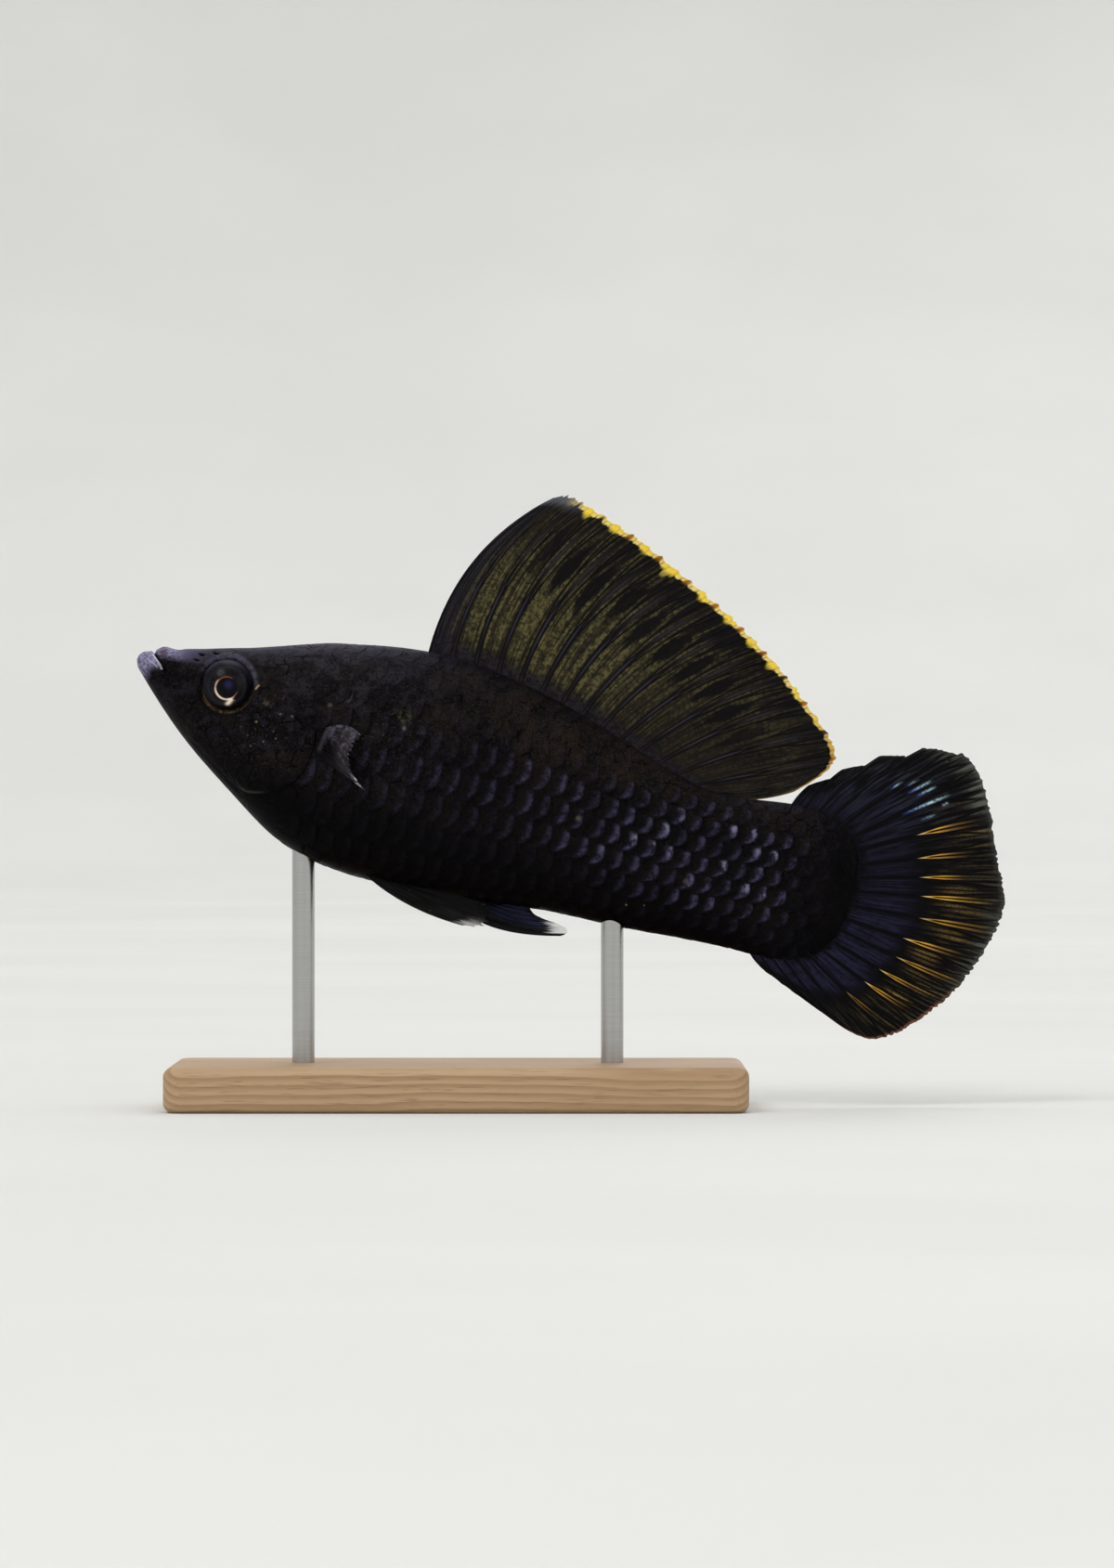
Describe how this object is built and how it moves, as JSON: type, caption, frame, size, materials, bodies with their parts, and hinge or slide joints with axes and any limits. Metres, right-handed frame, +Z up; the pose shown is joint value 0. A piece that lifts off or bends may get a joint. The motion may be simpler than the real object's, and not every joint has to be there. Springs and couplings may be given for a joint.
{
  "type": "black sailfin molly display model",
  "caption": "Black sailfin molly, an adult male with its high dorsal fin spread, as a life-size still model on a flat wooden base with steel rods.",
  "frame": {"origin": "centre of the whole model's footprint box, on the surface that the base rests on", "axes": "+X from the head towards the tail, +Y to the fish's right side, +Z up; the head faces -X and the body is pitched 17 degrees with the tail low, as in the picture"},
  "size_m": [0.0964, 0.034, 0.068],
  "materials": {
    "skin": "nearly black scaled skin with a violet-grey sheen, slightly wet",
    "eye": "glossy dark eye with a thin pale gold ring at the pupil",
    "dorsal_fin": "olive membrane with dark rays and blotches and a pale yellow fringe",
    "caudal_fin": "violet-grey rays over dark membrane with golden streaks",
    "pale_fin": "pale grey translucent fin",
    "stand_wood": "light oiled wood with fine straight grain",
    "stand_steel": "plain brushed steel rod"
  },
  "bodies": {
    "root": {"head": "skin", "lower_jaw": "skin", "gill_cover_left": "skin", "gill_cover_right": "skin", "trunk": "skin", "tail_stalk": "skin", "eye_left": "eye", "eye_right": "eye", "dorsal_fin": "dorsal_fin", "caudal_fin": "caudal_fin", "gonopodium": "caudal_fin", "pelvic_fin_left": "pale_fin", "pelvic_fin_right": "pale_fin", "pectoral_fin_left": "pale_fin", "pectoral_fin_right": "pale_fin", "stand_base": "stand_wood", "stand_rod_front": "stand_steel", "stand_rod_rear": "stand_steel"}
  },
  "joints": []
}
